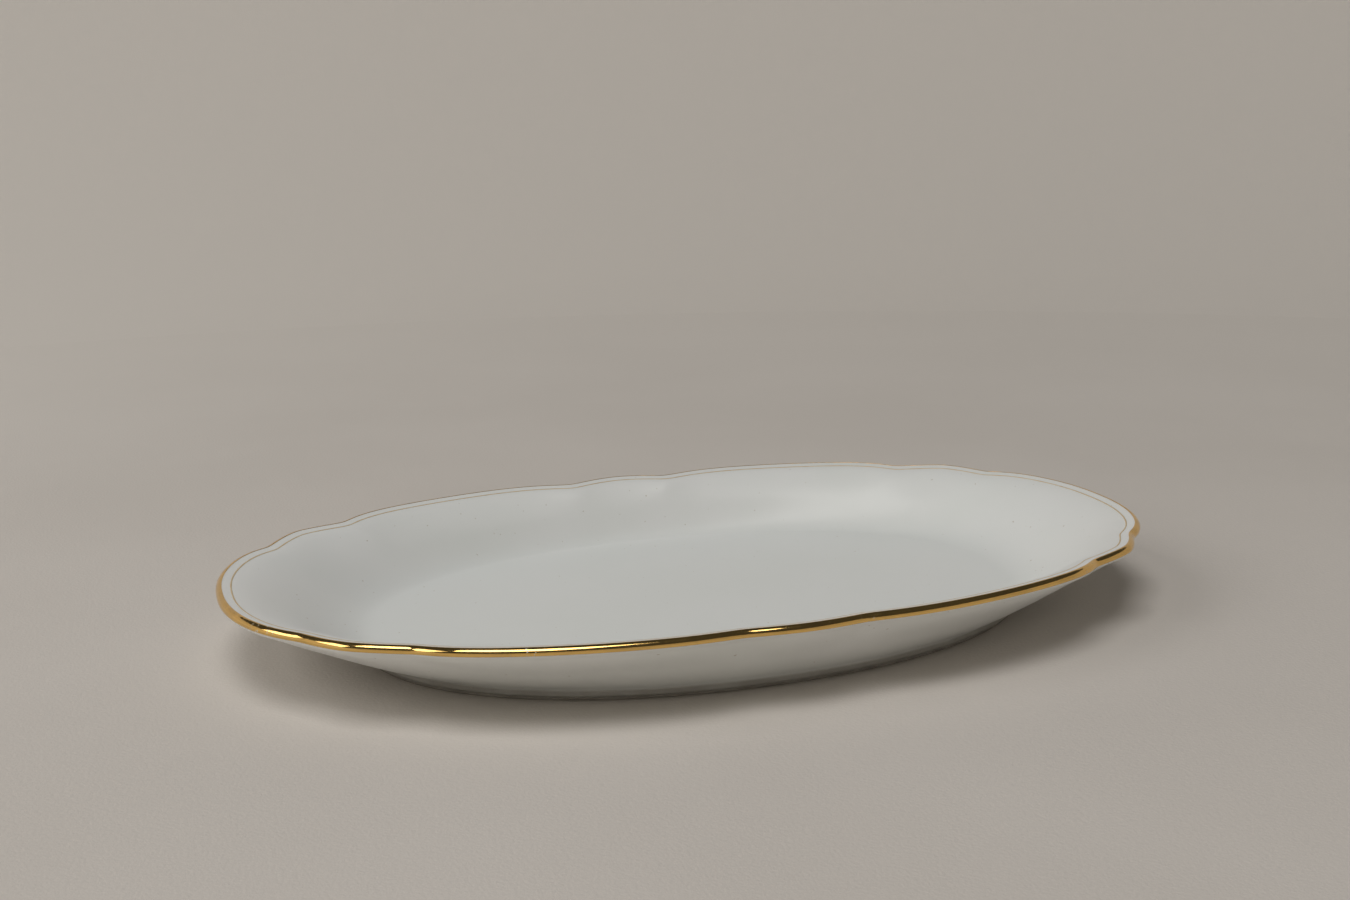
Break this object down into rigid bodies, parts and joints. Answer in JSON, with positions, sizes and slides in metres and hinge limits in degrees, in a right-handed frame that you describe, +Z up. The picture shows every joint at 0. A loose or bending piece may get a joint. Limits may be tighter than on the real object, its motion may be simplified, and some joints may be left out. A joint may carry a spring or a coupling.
{
  "type": "serving platter",
  "caption": "Oval china serving platter with a scalloped rim, a flat well, a foot ring, a gilt edge band and a fine gilt line inside it.",
  "frame": {"origin": "on the table, under the centre of the foot ring", "axes": "+X along the platter's long axis, +Y across it, +Z up from the foot towards the open well"},
  "size_m": [0.3208, 0.199, 0.027],
  "materials": {
    "bisque_porcelain": "matt, unglazed, as on the sole of the foot",
    "clear_glaze": "glossy cool white glaze",
    "burnished_gold": "bright burnished gold, lightly worn"
  },
  "bodies": {
    "root": {"porcelain_body": "bisque_porcelain", "glaze_coat": "clear_glaze", "recess_glaze": "clear_glaze", "gilt_edge_band": "burnished_gold", "gilt_hairline": "burnished_gold"}
  },
  "joints": []
}
